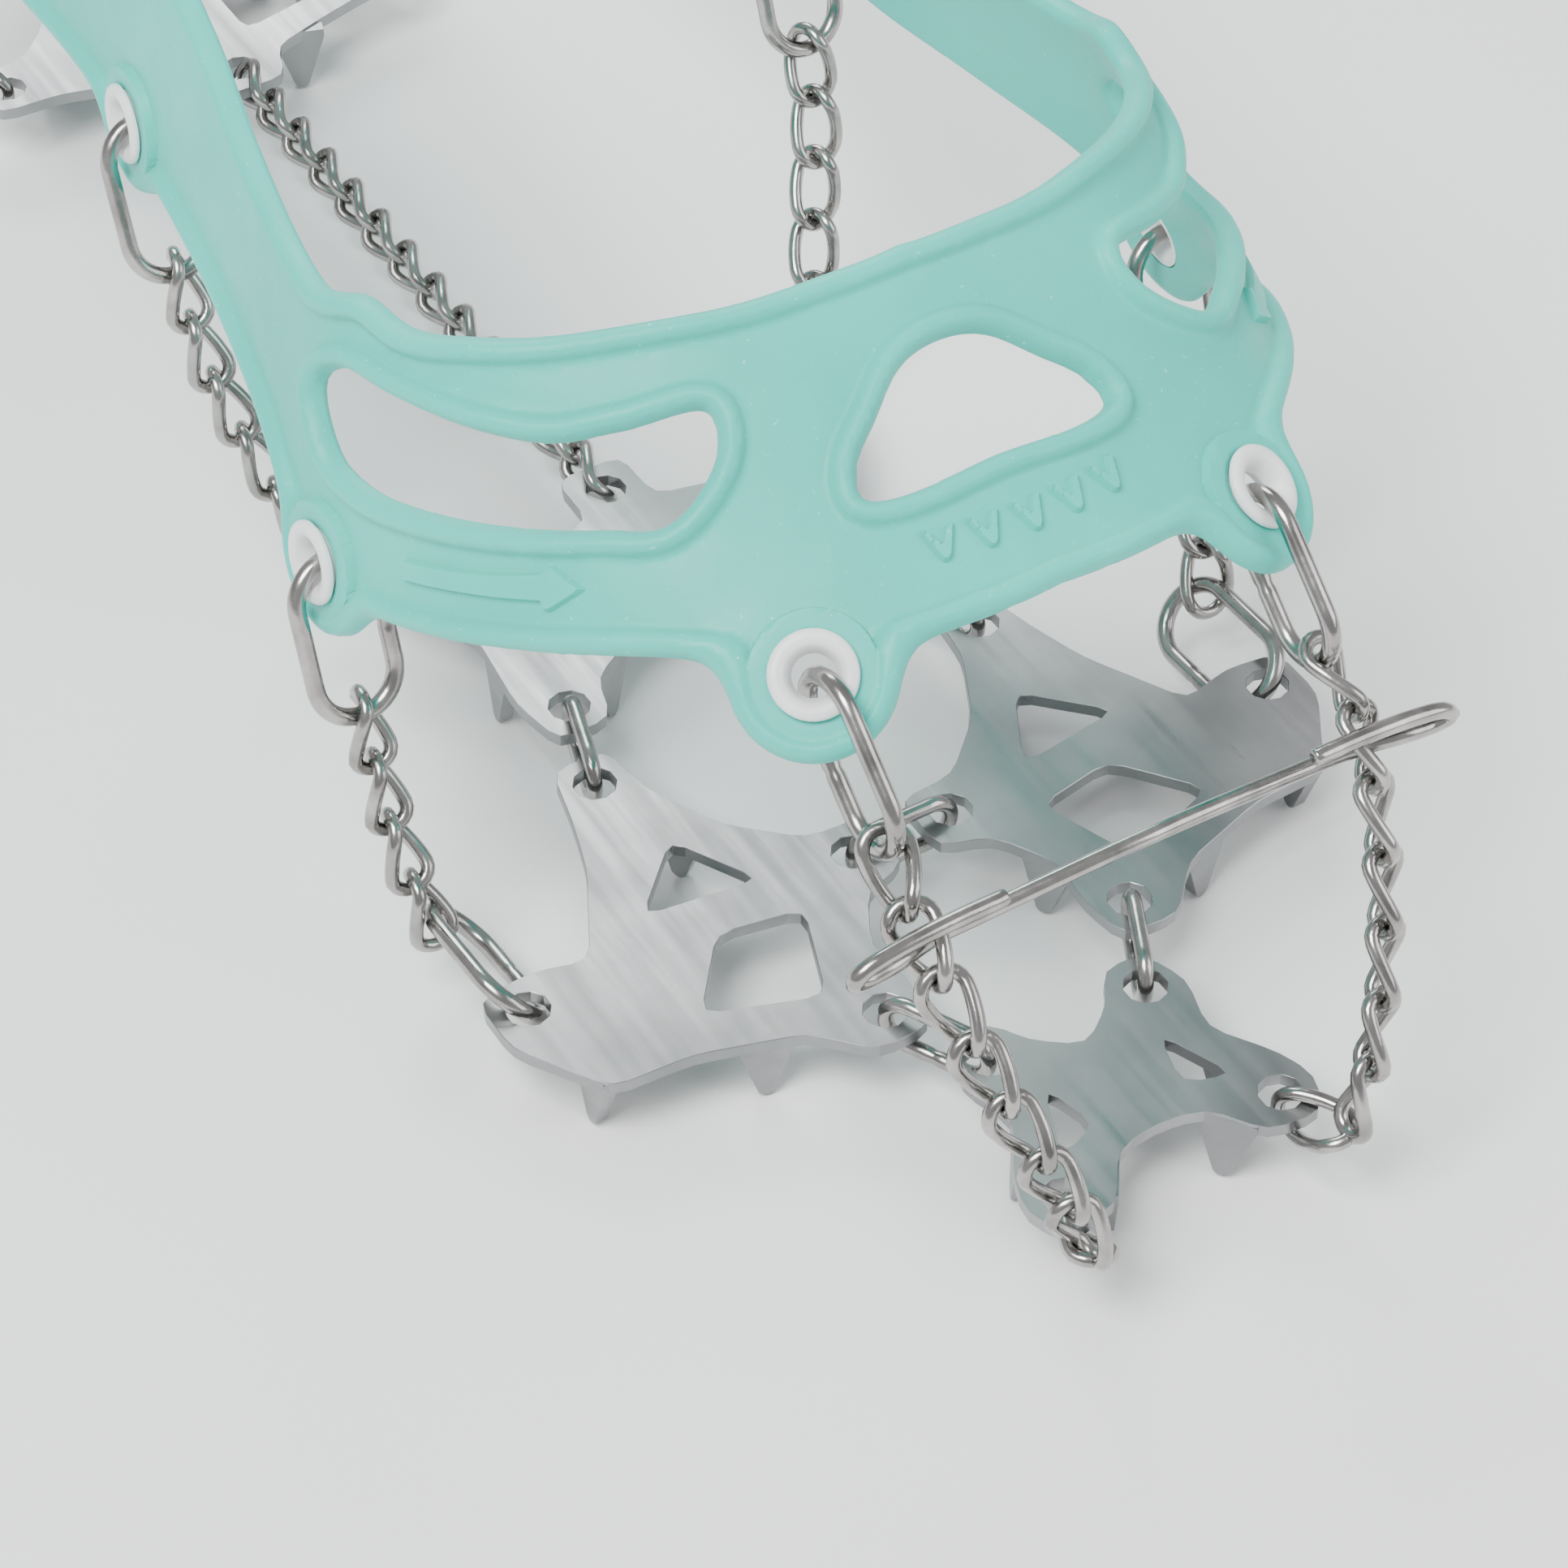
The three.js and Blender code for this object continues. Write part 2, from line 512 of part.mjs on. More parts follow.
function toothGeometry([x, y, direction]) {
  const half = tooth.base / 2;
  const shape = new THREE.Shape();
  shape.moveTo(-half, 0).lineTo(-half, -1.2).lineTo(-tooth.tip, -tooth.depth + tooth.tip * 0.6);
  shape.quadraticCurveTo(0, -tooth.depth - tooth.tip * 0.6, tooth.tip, -tooth.depth + tooth.tip * 0.6);
  shape.lineTo(half, -1.2).lineTo(half, 0);
  const geometry = new THREE.ExtrudeGeometry(shape, { depth: tooth.thickness, bevelEnabled: false, curveSegments: 3 });
  geometry.translate(0, 0, -tooth.thickness / 2).rotateX(Math.PI / 2);
  return geometry.rotateZ(THREE.MathUtils.degToRad(direction)).translate(x, y, sheet.top - 0.3);
}

function plateGeometry({ outline, eyes, windows, teeth }) {
  const shape = new THREE.Shape(roundedCorners(outline, false));
  shape.holes.push(...windows.map((points) => new THREE.Path(roundedCorners(points, true))));
  shape.holes.push(...eyes.map(([x, y]) => new THREE.Path().absarc(x, y, sheet.eyeRadius, 0, 2 * Math.PI, true)));
  const flat = new THREE.ExtrudeGeometry(shape, { depth: sheet.thickness, bevelEnabled: false, curveSegments: 5 });
  flat.translate(0, 0, sheet.top - sheet.thickness);
  return join([flat, ...teeth.map(toothGeometry)]);
}

const flip = (points) => points.map(([x, y, ...rest]) => [x, -y, ...rest.map((angle) => -angle)]);

function wholePlate({ half, eyes, centreEye, windows, teeth }) {
  return {
    outline: [...half, ...flip(half).slice(1, -1).reverse()],
    eyes: [...eyes, ...flip(eyes), ...(centreEye ? [centreEye] : [])],
    windows: [...windows, ...windows.map(flip)],
    teeth: [...teeth, ...flip(teeth)],
  };
}

const { outline: ballOutline, eyes: ballEyes, windows: ballWindows, teeth: ballTeeth } = plates.ball;
const rightBall = { outline: flip(ballOutline), eyes: flip(ballEyes), windows: ballWindows.map(flip),
  teeth: flip(ballTeeth) };
addPart('toe_plate', plateGeometry(wholePlate(plates.toe)), finish.plate);
addPart('ball_plate_right', plateGeometry(rightBall), finish.plate);
addPart('ball_plate_left', plateGeometry(plates.ball), finish.plate);
addPart('arch_plate', plateGeometry(wholePlate(plates.arch)), finish.plate);
addPart('heel_plate', plateGeometry(wholePlate(plates.heel)), finish.plate);

export default part;
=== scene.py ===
# One slip-on shoe ice cleat as it sits on a boot, without the boot.
import bmesh
import bpy
import math
import numpy as np
from mathutils import Matrix, Vector
from mathutils.kdtree import KDTree


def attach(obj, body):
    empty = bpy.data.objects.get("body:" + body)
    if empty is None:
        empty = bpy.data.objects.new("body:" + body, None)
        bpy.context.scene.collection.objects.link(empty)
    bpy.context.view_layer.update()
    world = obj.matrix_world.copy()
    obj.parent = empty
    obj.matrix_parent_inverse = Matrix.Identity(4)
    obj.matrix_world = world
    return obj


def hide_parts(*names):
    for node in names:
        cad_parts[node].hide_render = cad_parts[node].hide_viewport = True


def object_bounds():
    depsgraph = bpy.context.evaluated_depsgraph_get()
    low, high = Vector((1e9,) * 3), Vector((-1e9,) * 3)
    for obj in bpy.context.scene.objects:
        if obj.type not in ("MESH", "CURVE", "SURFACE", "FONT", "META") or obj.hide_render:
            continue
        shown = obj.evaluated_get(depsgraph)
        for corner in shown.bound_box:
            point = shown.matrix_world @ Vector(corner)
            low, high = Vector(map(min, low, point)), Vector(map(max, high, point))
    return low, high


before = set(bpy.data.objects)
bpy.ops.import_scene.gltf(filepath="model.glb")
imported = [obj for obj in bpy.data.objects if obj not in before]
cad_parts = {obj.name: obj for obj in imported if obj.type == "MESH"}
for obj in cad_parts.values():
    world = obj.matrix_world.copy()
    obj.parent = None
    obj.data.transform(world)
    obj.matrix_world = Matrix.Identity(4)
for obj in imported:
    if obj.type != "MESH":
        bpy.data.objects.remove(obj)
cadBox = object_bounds()
print("frame loaded")

hands = {"right": -1, "left": 1}
places = ["front", "side", "instep", "heel"]


# A piece from points in millimetres
def newMesh(name, points, faces, smooth=True, sharpAngle=None):
    mesh = bpy.data.meshes.new(name)
    mesh.from_pydata((np.asarray(points, float) / 1000).tolist(), [], [list(f) for f in faces])
    mesh.validate()
    mesh.update()
    if smooth:
        mesh.shade_smooth()
    if sharpAngle:
        mesh.set_sharp_from_angle(angle=math.radians(sharpAngle))
    piece = bpy.data.objects.new(name, mesh)
    bpy.context.scene.collection.objects.link(piece)
    return piece


def unit(v):
    v = np.asarray(v, float)
    return v / np.linalg.norm(v)


# Tube round a path. The section is turned as little as possible from point to point.
def tube(path, radius, sides=14, closed=False, endRound=0.35):
    path = np.asarray(path, float)
    count = len(path)
    after = np.roll(path, -1, 0) if closed else np.vstack([path[1:], 2 * path[-1] - path[-2]])
    prior = np.roll(path, 1, 0) if closed else np.vstack([2 * path[0] - path[1], path[:-1]])
    along = (after - prior) / np.linalg.norm(after - prior, axis=1)[:, None]
    up = np.cross(along[0], [0.31, 0.22, 0.92])
    ups = []
    for t in along:
        up = unit(up - t * np.dot(up, t))
        ups.append(up)
    ups = np.array(ups)
    slip = np.zeros(count)
    if closed:      # spread the leftover turn over the loop
        last = unit(ups[-1] - along[0] * np.dot(ups[-1], along[0]))
        turn = math.atan2(np.dot(np.cross(ups[0], last), along[0]), np.dot(ups[0], last))
        slip = -turn * np.arange(count) / count
    over = np.cross(along, ups)
    points, rings = [], []
    stops = [(i, radius, 0) for i in range(count)]
    if not closed:      # small rounded ends
        shoulder = (radius - endRound * 0.3, endRound * 0.7)
        stops = [(0, radius - endRound, -endRound), (0, shoulder[0], -shoulder[1])] + stops
        stops += [(count - 1, *shoulder), (count - 1, radius - endRound, endRound)]
    for i, r, push in stops:
        rings.append(len(points))
        for k in range(sides):
            a = 2 * math.pi * k / sides + slip[i]
            points.append(path[i] + along[i] * push + r * (math.cos(a) * ups[i] + math.sin(a) * over[i]))
    faces = []
    total = len(rings)
    for j in range(total if closed else total - 1):
        a, b = rings[j], rings[(j + 1) % total]
        for k in range(sides):
            n = (k + 1) % sides
            faces.append((a + k, a + n, b + n, b + k))
    if not closed:
        faces += [tuple(range(sides))[::-1], tuple(rings[-1] + k for k in range(sides))]
    return np.array(points), faces


# A smooth curve through the points, cut into even steps, and its length
def smoothPath(points, count):
    def between(k, p, j, far, u):
        return (k[j + far] - u) / (k[j + far] - k[j]) * p[j] + (u - k[j]) / (k[j + far] - k[j]) * p[j + 1]

    pts = np.asarray(points, float)
    pts = np.vstack([2 * pts[0] - pts[1], pts, 2 * pts[-1] - pts[-2]])
    knots = np.concatenate([[0], np.cumsum(np.linalg.norm(np.diff(pts, axis=0), axis=1) ** 0.5)])
    out = []
    for u in np.linspace(knots[1], knots[-2], max(count * 8, 200)):
        i = min(max(np.searchsorted(knots, u, side="right") - 1, 1), len(pts) - 3)
        k = knots[i - 1:i + 3]
        p = pts[i - 1:i + 3]
        a = [between(k, p, j, 1, u) for j in range(3)]
        b = [between(k, a, j, 2, u) for j in range(2)]
        out.append((k[2] - u) / (k[2] - k[1]) * b[0] + (u - k[1]) / (k[2] - k[1]) * b[1])
    out = np.array(out)
    run = np.concatenate([[0], np.cumsum(np.linalg.norm(np.diff(out, axis=0), axis=1))])
    even = np.linspace(0, run[-1], count)
    return np.stack([np.interp(even, run, out[:, c]) for c in range(3)], 1), run[-1]


# A new material, with its tree, its shader and the object coordinates
def nodesOf(name):
    material = bpy.data.materials.new(name)
    material.use_nodes = True
    tree = material.node_tree
    shader = tree.nodes["Principled BSDF"]
    where = tree.nodes.new("ShaderNodeTexCoord").outputs["Object"]
    return material, tree, shader, where


def noise(tree, where, scale, detail=3, stretch=None, roughness=0.5):
    if stretch:
        mapping = tree.nodes.new("ShaderNodeMapping")
        mapping.inputs["Scale"].default_value = stretch
        tree.links.new(where, mapping.inputs["Vector"])
        where = mapping.outputs["Vector"]
    node = tree.nodes.new("ShaderNodeTexNoise")
    node.inputs["Scale"].default_value = scale
    node.inputs["Detail"].default_value = detail
    node.inputs["Roughness"].default_value = roughness
    tree.links.new(where, node.inputs["Vector"])
    return node.outputs["Fac"]


def ramp(tree, value, stops):
    node = tree.nodes.new("ShaderNodeValToRGB")
    while len(node.color_ramp.elements) < len(stops):
        node.color_ramp.elements.new(0.5)
    for element, (place, colour) in zip(node.color_ramp.elements, stops):
        element.position = place
        element.color = (*colour, 1) if len(colour) == 3 else (colour[0],) * 3 + (1,)
    tree.links.new(value, node.inputs["Fac"])
    return node.outputs["Color"]


def bump(tree, shader, heights):
    last = None
    for height, strength, distance in heights:
        node = tree.nodes.new("ShaderNodeBump")
        node.inputs["Strength"].default_value = strength
        node.inputs["Distance"].default_value = distance
        tree.links.new(height, node.inputs["Height"])
        if last:
            tree.links.new(last, node.inputs["Normal"])
        last = node.outputs["Normal"]
    tree.links.new(last, shader.inputs["Normal"])


# Roughness that wanders between two values, each given as (place on the ramp, roughness)
def roughen(tree, shader, pattern, *stops):
    shades = ramp(tree, pattern, [(place, (value,)) for place, value in stops])
    tree.links.new(shades, shader.inputs["Roughness"])


def siliconeMaterial():
    look = {"pale": (0.055, 0.63, 0.525), "deep": (0.035, 0.54, 0.45), "dust": (0.24, 0.78, 0.70),
            "smooth": 0.42, "rough": 0.56, "softness": 0.18, "depth": 0.0025}
    material, tree, shader, where = nodesOf("silicone")
    patches = ramp(tree, noise(tree, where, 28, 4), [(0.3, look["deep"]), (0.7, look["pale"])])
    specks = ramp(tree, noise(tree, where, 1500, 2), [(0.70, (0,)), (0.78, (1,))])
    mix = tree.nodes.new("ShaderNodeMix")
    mix.data_type = "RGBA"
    mix.inputs["B"].default_value = (*look["dust"], 1)
    tree.links.new(specks, mix.inputs["Factor"])
    tree.links.new(patches, mix.inputs["A"])
    tree.links.new(mix.outputs["Result"], shader.inputs["Base Color"])
    roughen(tree, shader, noise(tree, where, 160, 4), (0.3, look["smooth"]), (0.7, look["rough"]))
    shader.inputs["Subsurface Weight"].default_value = look["softness"]
    shader.inputs["Subsurface Radius"].default_value = (0.6, 1.0, 0.95)
    shader.inputs["Subsurface Scale"].default_value = look["depth"]
    shader.inputs["Specular IOR Level"].default_value = 0.42
    shader.inputs["Sheen Weight"].default_value = 0.08
    bump(tree, shader, [(noise(tree, where, 900, 3), 0.12, 0.0002),     # fine skin
                        (noise(tree, where, 90, 3), 0.10, 0.0006)])     # slow waves
    return material


def wireMaterial():
    look = {"dark": (0.27, 0.26, 0.25), "bright": (0.46, 0.445, 0.43), "smooth": 0.13, "rough": 0.30}
    material, tree, shader, where = nodesOf("wire steel")
    tone = ramp(tree, noise(tree, where, 240, 4), [(0.32, look["dark"]), (0.68, look["bright"])])
    tree.links.new(tone, shader.inputs["Base Color"])
    shader.inputs["Metallic"].default_value = 1
    roughen(tree, shader, noise(tree, where, 420, 4), (0.3, look["smooth"]), (0.75, look["rough"]))
    bump(tree, shader, [(noise(tree, where, 700, 3), 0.10, 0.0002),
                        (noise(tree, where, 2600, 2), 0.05, 0.0001)])
    return material


def sheetMaterial():
    look = {"dark": (0.25, 0.255, 0.26), "bright": (0.36, 0.365, 0.37), "smooth": 0.26, "rough": 0.44,
            "grain": (0.06, 1, 1)}
    material, tree, shader, where = nodesOf("sheet steel")
    tone = ramp(tree, noise(tree, where, 60, 5), [(0.3, look["dark"]), (0.7, look["bright"])])
    tree.links.new(tone, shader.inputs["Base Color"])
    shader.inputs["Metallic"].default_value = 1
    grain = noise(tree, where, 500, 4, look["grain"])
    roughen(tree, shader, grain, (0.3, look["smooth"]), (0.7, look["rough"]))
    bump(tree, shader, [(grain, 0.10, 0.0002), (noise(tree, where, 130, 3), 0.08, 0.0004)])
    return material


def nylonMaterial():
    look = {"dull": (0.80, 0.82, 0.82), "white": (0.90, 0.91, 0.91), "smooth": 0.30, "rough": 0.42}
    material, tree, shader, where = nodesOf("white nylon")
    tone = ramp(tree, noise(tree, where, 200, 3), [(0.3, look["dull"]), (0.7, look["white"])])
    tree.links.new(tone, shader.inputs["Base Color"])
    roughen(tree, shader, noise(tree, where, 300, 3), (0.3, look["smooth"]), (0.7, look["rough"]))
    shader.inputs["Subsurface Weight"].default_value = 0.1
    shader.inputs["Subsurface Scale"].default_value = 0.001
    bump(tree, shader, [(noise(tree, where, 800, 2), 0.06, 0.0002)])
    return material


silicone, wireSteel, sheetSteel, nylon = siliconeMaterial(), wireMaterial(), sheetMaterial(), nylonMaterial()
print("materials made")

# The boot surface, in millimetres. A station runs back from the toe and a girth angle runs up.
boot = {
    "toeCentre": 40, "heelCentre": -95,
    "station": [0, 25, 50, 70, 90, 110, 130, 160, 190, 225, 270, 315],
    "halfWidth": [110, 99, 77, 63, 57, 52, 48, 45, 44, 44, 45, 50],
    "height": [94, 94, 96, 99, 102, 106, 110, 118, 122, 124, 128, 130],
    "squareness": [1.8, 1.9, 2.2, 2.7, 3, 3.1, 3.3, 3.5, 3.6, 3.6, 3.6, 3.6],
}
sideLength = boot["toeCentre"] - boot["heelCentre"]
heelBack = 90 + sideLength + 90


def curveThrough(stations, values):
    x, y = np.array(stations, float), np.array(values, float)
    slope = np.diff(y) / np.diff(x)
    rate = np.zeros(len(x))
    a, b = slope[:-1], slope[1:]
    same = a * b > 0
    rate[1:-1][same] = 2 * a[same] * b[same] / (a[same] + b[same])

    def at(s):
        i = np.clip(np.searchsorted(x, s, side="left") - 1, 0, len(x) - 2)
        w = x[i + 1] - x[i]
        t = (s - x[i]) / w
        return ((2 * t**3 - 3 * t**2 + 1) * y[i] + (t**3 - 2 * t**2 + t) * w * rate[i]
                + (3 * t**2 - 2 * t**3) * y[i + 1] + (t**3 - t**2) * w * rate[i + 1])
    return at


halfWidthAt = curveThrough(boot["station"], boot["halfWidth"])
heightAt = curveThrough(boot["station"], boot["height"])
squarenessAt = curveThrough(boot["station"], boot["squareness"])


def bootPoint(station, girth):
    station, girth = np.asarray(station, float), np.asarray(girth, float)
    along = np.abs(station)
    angle = np.radians(girth)
    power = squarenessAt(along)
    hollow = 4 * np.exp(-(((girth - 52) / 13) ** 2)) * np.exp(-((along / 48) ** 2))
    reach = ((np.cos(angle) / halfWidthAt(along)) ** power
             + (np.sin(angle) / heightAt(along)) ** power) ** (-1 / power) - hollow
    centre = np.where(along <= 90, boot["toeCentre"],
                      np.maximum(boot["heelCentre"], boot["toeCentre"] - (along - 90)))
    turn = np.radians(np.where(along <= 90, along, np.maximum(90, along - sideLength)))
    out = reach * np.cos(angle)
    side = np.where(station < 0, -1, 1)
    return np.stack([centre + out * np.cos(turn), side * out * np.sin(turn), reach * np.sin(angle)], -1)


def bootNormal(station, girth):
    step = 0.3
    side = np.where(np.asarray(station) < 0, -1.0, 1.0)
    along = np.clip(np.abs(station), step, heelBack - step) * side
    forward = bootPoint(along + step, girth) - bootPoint(along - step, girth)
    upward = bootPoint(along, girth + step) - bootPoint(along, girth - step)
    normal = np.cross(forward, upward)
    normal /= np.linalg.norm(normal, axis=-1)[..., None]
    middle = np.abs(station) < step
    normal[middle, 1] = 0
    return normal / np.linalg.norm(normal, axis=-1)[..., None]


# The strap as a pattern of (station, girth) points on the boot surface
harness = {
    "topEdge": [[0, 65.2], [14, 64.6], [27, 63.4], [40, 62], [60, 58.9], [71, 57.5], [80, 57.7], [88, 56.2],
                [100, 56.8], [115, 59], [130, 62], [150, 64.5], [175, 64], [200, 62], [235, 60.5],
                [275, 60.5], [299, 62.5], [304, 68], [309, 71], [315, 71.5]],
    "lowEdge": [[0, 40.2], [10, 39.6], [22, 38.8], [34, 39.6], [46, 38.8], [58, 37.5], [68, 36.5], [77, 37],
                [86, 40], [94, 42.4], [109, 45], [124, 46.9], [148, 49.5], [165, 50.5], [185, 50],
                [210, 48.5], [235, 47.5], [255, 47], [280, 48.5], [315, 50]],
    "sideWindow": [[29.6, 53.5], [30.4, 56], [40.9, 54.6], [48.1, 53.3], [58, 52.9], [70.3, 53],
                   [80.3, 52.6], [83.8, 50.4], [78.4, 46.9], [71.9, 46], [61.5, 46.4], [48.7, 47.3],
                   [41, 47.9], [34.2, 48.6]],
    "centreWindow": [[-15, 49.2], [-14.6, 51.4], [-11.5, 54], [-6.5, 57.2], [0, 58.2], [6.5, 57.2],
                     [11.5, 54], [14.6, 51.4], [15, 49.2], [0, 49.4]],
    "lugs": {"front": (22, 38.2), "side": (77.2, 37.9), "instep": (148.5, 51.3), "heel": (255, 45)},
    "lugRadius": 9.2, "lugBlend": 5, "bore": 4.3,
    "boss": [(4.3, 2.6), (4.8, 2.9), (6.9, 2.9), (7.25, 0)],      # distance from the bore's middle, height
    "stationStep": 0.95, "girthStep": 0.85,
    "fineStationStep": 0.5, "fineGirthStep": 0.3,       # where the raised marks are
    "fineUpTo": 66, "girths": (28, 40.4, 46.4, 79),
    "bead": [(0, 1.1), (0.25, 2.1), (0.7, 2.95), (1.3, 3.35), (1.9, 3.35), (2.45, 2.95), (2.8, 2.3),
             (3.05, 1.85), (3.5, 1.7)],       # depth from the edge, height
    "inside": [(0, 0.9), (0.25, 0.45), (0.7, 0.12), (1.3, 0)],
    "raised": 0.9, "raisedSlope": 0.3,
}


# Raised marks as closed shapes on the pattern: an arrow on each side and a row of chevrons at the front
def raisedMarks():
    marks = []
    for side in (-1, 1):
        arrow = [(63, 42.6), (52.2, 43.7), (46.3, 44.5), (46.0, 45.3), (41.8, 43.7), (45.4, 41.6),
                 (46.0, 42.4), (55.3, 41.6), (62.7, 40.9)]
        marks.append([(side * s, g) for s, g in arrow])
    for centre in (-9, -4.5, 0, 4.5, 9):
        marks.append([(centre - 1.9, 46.0), (centre - 0.9, 46.0), (centre, 44.9), (centre + 0.9, 46.0),
                      (centre + 1.9, 46.0), (centre + 0.4, 43.6), (centre - 0.4, 43.6)])
    return marks


def smoothLine(points, closed, perSpan=10):
    pts = [np.array(p, float) for p in points]
    if closed:      # run past both ends, then keep one round
        pts = pts[-3:] + pts + pts[:3]
    path, _ = smoothPath([np.append(p, 0) for p in pts], len(pts) * perSpan)
    path = path[:, :2]
    if closed:
        away, middle = np.linalg.norm(path - points[0], axis=1), len(path) // 2
        start, rest = away[:middle].argmin(), away[middle:].argmin() + middle
        path = np.vstack([path[start:rest], path[start:start + 1]])
    return path


def dense(pattern, step=0.25):
    parts = []
    for a, b in zip(pattern[:-1], pattern[1:]):
        n = max(int(np.linalg.norm((b - a) * [1.5, 1.6]) / step), 1)
        parts.append(a + (b - a) * (np.arange(n) / n)[:, None])
    parts.append(pattern[-1:])
    return np.vstack(parts)


def treeOf(pattern):
    points = bootPoint(pattern[:, 0], pattern[:, 1])
    tree = KDTree(len(points))
    for i, p in enumerate(points):
        tree.insert(p, i)
    tree.balance()
    return tree


def far(tree, points):
    return np.array([tree.find(p)[2] for p in points])


def within(pattern, s, g):
    inside = np.zeros(len(s), bool)
    for a, b in zip(pattern, np.roll(pattern, 1, 0)):
        crosses = (a[1] > g) != (b[1] > g)
        with np.errstate(divide="ignore", invalid="ignore"):
            left = s < (b[0] - a[0]) * (g - a[1]) / (b[1] - a[1]) + a[0]
        inside ^= crosses & left
    return inside


topLine = smoothLine(harness["topEdge"], False)
lowLine = smoothLine(harness["lowEdge"], False)
holes = [smoothLine(harness[w], True) for w in ("sideWindow", "centreWindow")]
topTree, lowTree = treeOf(dense(topLine)), treeOf(dense(lowLine))
holeTrees = [treeOf(dense(h)) for h in holes]
lugCentres = {k: bootPoint(*at) for k, at in harness["lugs"].items()}
marks = [np.array(m + m[:1]) for m in raisedMarks()]
markTrees = [treeOf(dense(m, 0.15)) for m in marks]


def depthInside(s, g):
    s = np.abs(s)
    points = bootPoint(s, g)
    top = far(topTree, points) * np.sign(np.interp(s, topLine[:, 0], topLine[:, 1]) - g)
    low = far(lowTree, points) * np.sign(g - np.interp(s, lowLine[:, 0], lowLine[:, 1]))
    depth = np.minimum(top, low)
    for centre in lugCentres.values():
        lug = harness["lugRadius"] - np.linalg.norm(points - centre, axis=1)
        blend = np.maximum(harness["lugBlend"] - np.abs(depth - lug), 0) / harness["lugBlend"]
        depth = np.maximum(depth, lug) + harness["lugBlend"] * blend**2 / 4
    for pattern, tree in zip(holes, holeTrees):
        away = far(tree, points) * np.where(within(pattern, s, g), -1, 1)
        depth = np.minimum(depth, away)
    return depth


def boreDepth(s, g):
    points = bootPoint(np.abs(s), g)
    return np.min([np.linalg.norm(points - c, axis=1) for c in lugCentres.values()], axis=0)


def markDepth(s, g):
    points = bootPoint(s, g)
    best = np.full(len(s), -50.0)
    for pattern, tree in zip(marks, markTrees):
        near = (np.abs(s - pattern[:, 0].mean()) < 16) & (np.abs(g - pattern[:, 1].mean()) < 8)
        if near.any():
            d = far(tree, points[near]) * np.where(within(pattern[:-1], s[near], g[near]), 1, -1)
            best[near] = np.maximum(best[near], d)
    return best


# Cuts triangles along a level of one of the fields, so that edges follow it exactly.
def splitAt(verts, tris, column, level):
    value = verts[:, column] - level
    value[np.abs(value) < 0.04] = 0
    sign = np.sign(value)
    s = sign[tris]
    mixed = (s.min(1) < 0) & (s.max(1) > 0)
    keep = [tris[~mixed]]
    todo = tris[mixed]
    made, extra, out = {}, [], []

    def crossing(a, b):
        key = (a, b) if a < b else (b, a)
        if key not in made:
            t = value[key[0]] / (value[key[0]] - value[key[1]])
            made[key] = len(verts) + len(extra)
            point = verts[key[0]] + (verts[key[1]] - verts[key[0]]) * t
            point[column] = level
            extra.append(point)
        return made[key]

    for tri in todo:
        a, b, c = tri
        sa = sign[tri]
        if 0 in sa:
            while sign[a] != 0:
                a, b, c = b, c, a
            m = crossing(b, c)
            out += [(a, b, m), (a, m, c)]
            continue
        while not (sign[a] != sign[b] and sign[a] != sign[c]):
            a, b, c = b, c, a
        ab, ac = crossing(a, b), crossing(a, c)
        out += [(a, ab, ac), (ab, b, c), (ab, c, ac)]
    if extra:
        verts = np.vstack([verts, extra])
    if out:
        keep.append(np.array(out))
    return verts, np.vstack(keep)


